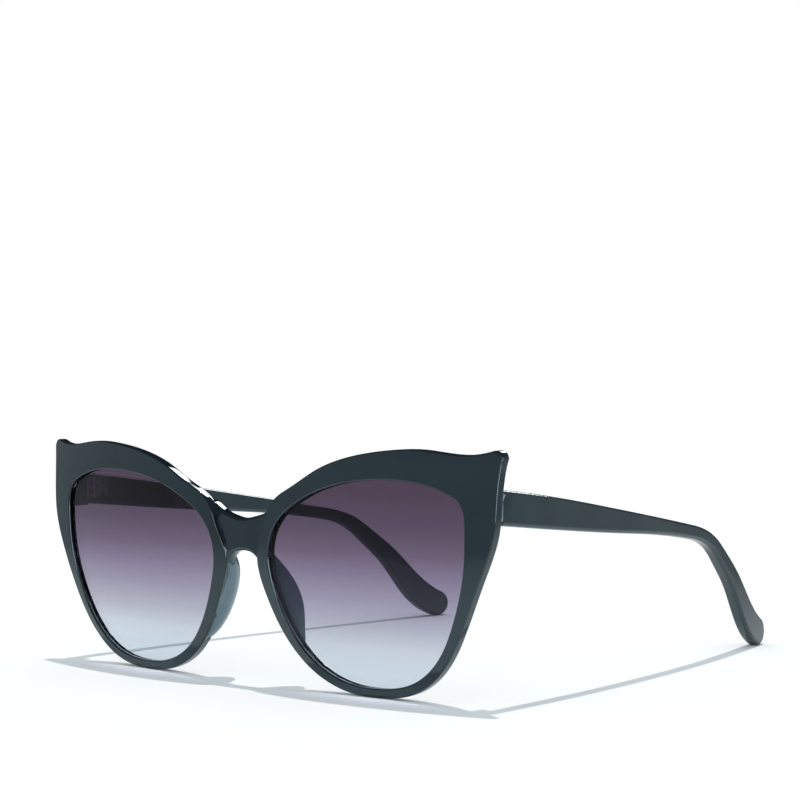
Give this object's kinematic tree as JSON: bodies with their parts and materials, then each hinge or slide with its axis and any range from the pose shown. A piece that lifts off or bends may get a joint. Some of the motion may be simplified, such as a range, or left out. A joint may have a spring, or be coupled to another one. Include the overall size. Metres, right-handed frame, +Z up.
{
  "type": "cat eye sunglasses",
  "caption": "Acetate cat eye sunglasses with swept tips, gradient lenses in grooved rims, nose pads, and side arms that fold on screw hinges",
  "frame": {"origin": "bottom centre of the open glasses: midway between the sides and between the front's foremost line and the temple ends, on the surface that the rims and temple ends stand on", "axes": "+X to the wearer's left, +Y rearwards along the temples, +Z up; the lenses look along -Y"},
  "size_m": [0.145, 0.1386, 0.0553],
  "materials": {
    "front_acetate": "polished near-black with a blue-green cast",
    "pad_acetate": "polished near-black with a blue-green cast",
    "temple_acetate": "polished near-black with a blue-green cast",
    "sun_lens": "mauve at the top, fading to pale blue-grey",
    "hinge_steel": "satin",
    "screw_steel": "polished",
    "core_wire": "satin"
  },
  "bodies": {
    "front": {"front_frame": "front_acetate", "lens_left": "sun_lens", "lens_right": "sun_lens", "nose_pad_left": "pad_acetate", "nose_pad_right": "pad_acetate", "front_hinge_leaf_left": "hinge_steel", "front_hinge_leaf_right": "hinge_steel", "front_leaf_screws_left": "screw_steel", "front_leaf_screws_right": "screw_steel", "hinge_screw_left": "screw_steel", "hinge_screw_right": "screw_steel"},
    "left_arm": {"temple_left": "temple_acetate", "temple_core_wire_left": "core_wire", "temple_hinge_leaf_left": "hinge_steel", "temple_leaf_screws_left": "screw_steel"},
    "right_arm": {"temple_right": "temple_acetate", "temple_core_wire_right": "core_wire", "temple_hinge_leaf_right": "hinge_steel", "temple_leaf_screws_right": "screw_steel"}
  },
  "joints": [
    {"name": "left_arm_fold", "type": "hinge", "parent": "front", "child": "left_arm", "pos_m": [0.06415, -0.05662, 0.0429], "axis": [0, 0, 1], "range_deg": [0, 85]},
    {"name": "right_arm_fold", "type": "hinge", "parent": "front", "child": "right_arm", "pos_m": [-0.06415, -0.05662, 0.0429], "axis": [0, 0, -1], "range_deg": [0, 80]}
  ]
}
